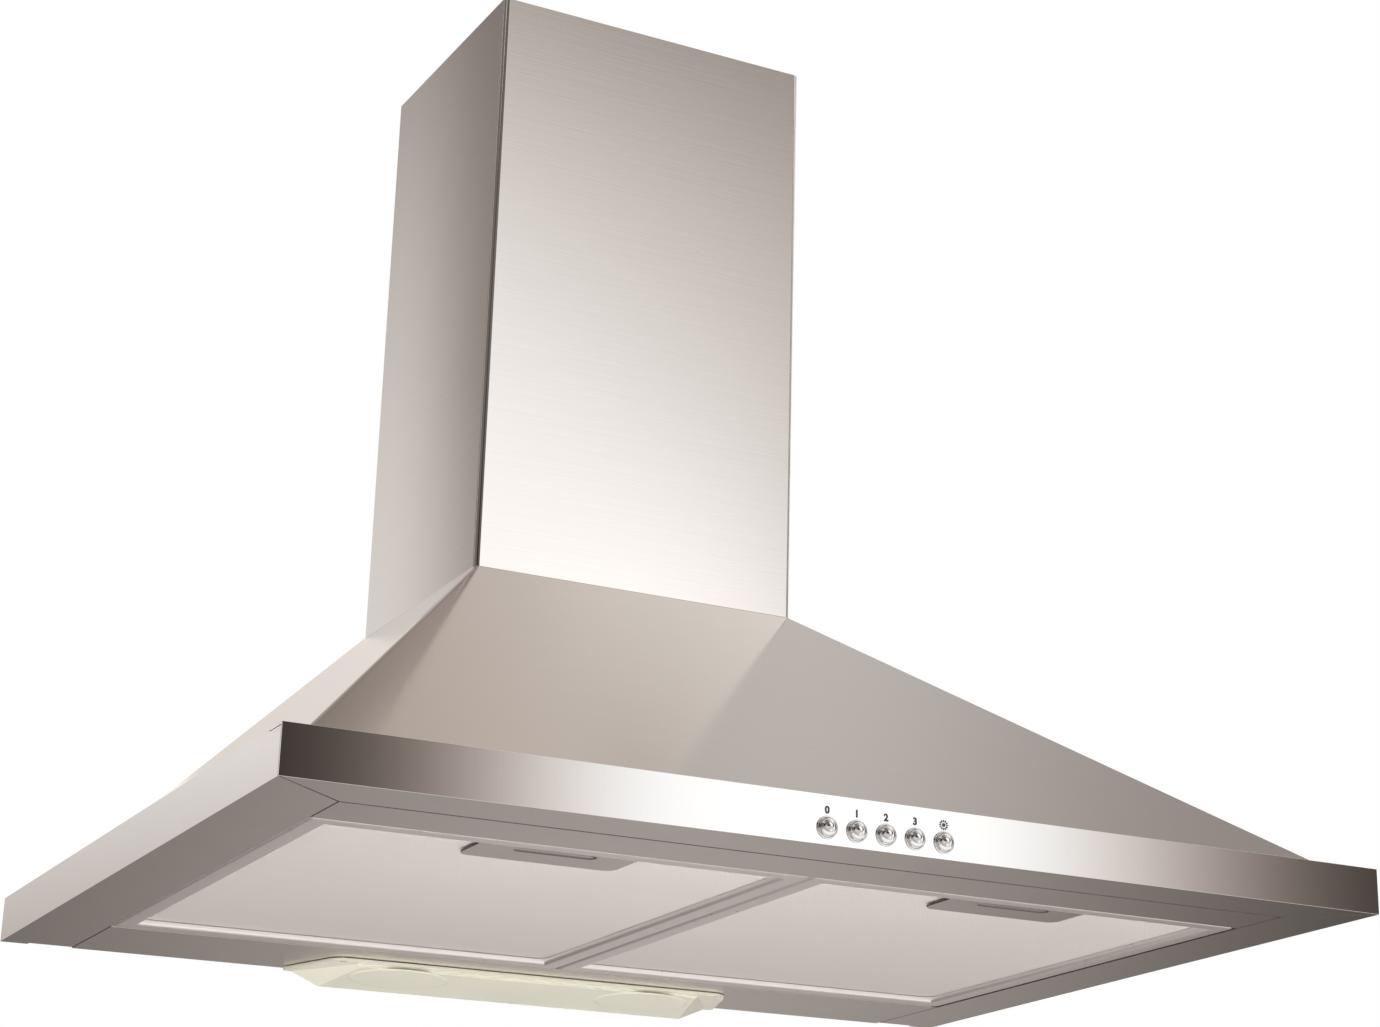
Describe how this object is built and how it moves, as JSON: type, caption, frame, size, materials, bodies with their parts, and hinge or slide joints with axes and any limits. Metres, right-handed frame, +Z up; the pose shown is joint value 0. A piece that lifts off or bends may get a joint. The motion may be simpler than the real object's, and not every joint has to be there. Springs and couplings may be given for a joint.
{
  "type": "chimney range hood",
  "caption": "Wall-mounted pyramid range hood with a telescoping chimney cover, swing-down grease filters, push buttons and a lamp cover.",
  "frame": {"origin": "the hanging point on the wall: midway between the two hanging slots, on the rear face of the back panel", "axes": "+Y points into the wall, +Z up, +X to the right as seen by a cook in front of the hood"},
  "size_m": [0.6, 0.4596, 0.5736],
  "materials": {
    "brushed_steel": "brushed satin",
    "polished_steel": "polished",
    "galvanised": "zinc coated",
    "filter_aluminium": "satin",
    "chrome": "bright",
    "lamp_plastic": "translucent satin",
    "black_plastic": "fine grain",
    "grey_plastic": "fine grain",
    "white_plastic": "smooth",
    "lamp_glass": "frosted"
  },
  "bodies": {
    "hood": {"canopy_shell": "brushed_steel", "front_fascia": "polished_steel", "back_panel": "galvanised", "front_strip": "brushed_steel", "rear_strip": "brushed_steel", "lower_chimney": "brushed_steel", "chimney_wall_bracket": "galvanised", "bezel_stop": "chrome", "bezel_low": "chrome", "bezel_middle": "chrome", "bezel_high": "chrome", "bezel_lamp": "chrome", "switch_housing": "black_plastic", "switch_bracket": "galvanised", "lamp_cover": "lamp_plastic", "lamp_tray": "galvanised", "lamp_holder_left": "white_plastic", "lamp_holder_right": "white_plastic", "bulb_left": "lamp_glass", "bulb_right": "lamp_glass", "cover_screw_left": "galvanised", "cover_screw_right": "galvanised", "blower_housing_left": "grey_plastic", "blower_housing_right": "grey_plastic", "motor_body": "galvanised", "motor_bracket": "galvanised", "duct_collar": "black_plastic", "damper_pin": "galvanised", "terminal_box": "white_plastic", "terminal_box_lid": "white_plastic", "capacitor": "white_plastic", "cable_gland": "black_plastic", "switch_cable": "white_plastic", "lamp_cable": "white_plastic", "motor_cable": "white_plastic"},
    "chimney_slide": {"upper_chimney": "brushed_steel"},
    "stop_button": {"button_stop": "chrome"},
    "low_button": {"button_low": "chrome"},
    "middle_button": {"button_middle": "chrome"},
    "high_button": {"button_high": "chrome"},
    "lamp_button": {"button_lamp": "chrome"},
    "filter_left": {"filter_frame_left": "filter_aluminium", "filter_mesh_left": "filter_aluminium", "filter_backing_left": "filter_aluminium", "latch_guide_left": "galvanised", "latch_spring_left": "galvanised"},
    "latch_left": {"latch_plate_left": "brushed_steel"},
    "filter_right": {"filter_frame_right": "filter_aluminium", "filter_mesh_right": "filter_aluminium", "filter_backing_right": "filter_aluminium", "latch_guide_right": "galvanised", "latch_spring_right": "galvanised"},
    "latch_right": {"latch_plate_right": "brushed_steel"},
    "fan": {"impeller": "black_plastic", "motor_shaft": "galvanised"},
    "damper_left": {"damper_flap_left": "grey_plastic"},
    "damper_right": {"damper_flap_right": "grey_plastic"}
  },
  "joints": [
    {"name": "upper_chimney_slide", "type": "slide", "parent": "hood", "child": "chimney_slide", "axis": [0, 0, 1], "range_m": [0, 0.3]},
    {"name": "button_stop_press", "type": "slide", "parent": "hood", "child": "stop_button", "axis": [0, 1, 0], "range_m": [0, 0.003], "stiffness_N_per_m": 300, "springref_m": -0.001},
    {"name": "button_low_press", "type": "slide", "parent": "hood", "child": "low_button", "axis": [0, 1, 0], "range_m": [0, 0.003], "stiffness_N_per_m": 300, "springref_m": -0.001},
    {"name": "button_middle_press", "type": "slide", "parent": "hood", "child": "middle_button", "axis": [0, 1, 0], "range_m": [0, 0.003], "stiffness_N_per_m": 300, "springref_m": -0.001},
    {"name": "button_high_press", "type": "slide", "parent": "hood", "child": "high_button", "axis": [0, 1, 0], "range_m": [0, 0.003], "stiffness_N_per_m": 300, "springref_m": -0.001},
    {"name": "button_lamp_press", "type": "slide", "parent": "hood", "child": "lamp_button", "axis": [0, 1, 0], "range_m": [0, 0.003], "stiffness_N_per_m": 300, "springref_m": -0.001},
    {"name": "filter_left_swing", "type": "hinge", "parent": "hood", "child": "filter_left", "pos_m": [-0.13025, -0.078, -0.1085], "axis": [1, 0, 0], "range_deg": [0, 75]},
    {"name": "filter_right_swing", "type": "hinge", "parent": "hood", "child": "filter_right", "pos_m": [0.13025, -0.078, -0.1085], "axis": [1, 0, 0], "range_deg": [0, 75]},
    {"name": "latch_left_slide", "type": "slide", "parent": "filter_left", "child": "latch_left", "axis": [0, 1, 0], "range_m": [0, 0.006], "stiffness_N_per_m": 300, "springref_m": -0.002, "deforming": ["latch_spring_left"]},
    {"name": "latch_right_slide", "type": "slide", "parent": "filter_right", "child": "latch_right", "axis": [0, 1, 0], "range_m": [0, 0.006], "stiffness_N_per_m": 300, "springref_m": -0.002, "deforming": ["latch_spring_right"]},
    {"name": "fan_spin", "type": "hinge", "parent": "hood", "child": "fan", "pos_m": [0, -0.10543, 0.012], "axis": [1, 0, 0], "continuous": true},
    {"name": "damper_left_swing", "type": "hinge", "parent": "hood", "child": "damper_left", "pos_m": [0, -0.085, 0.1032], "axis": [0, 1, 0], "range_deg": [0, 80]},
    {"name": "damper_right_swing", "type": "hinge", "parent": "hood", "child": "damper_right", "pos_m": [0, -0.085, 0.1032], "axis": [0, -1, 0], "range_deg": [0, 80]}
  ]
}
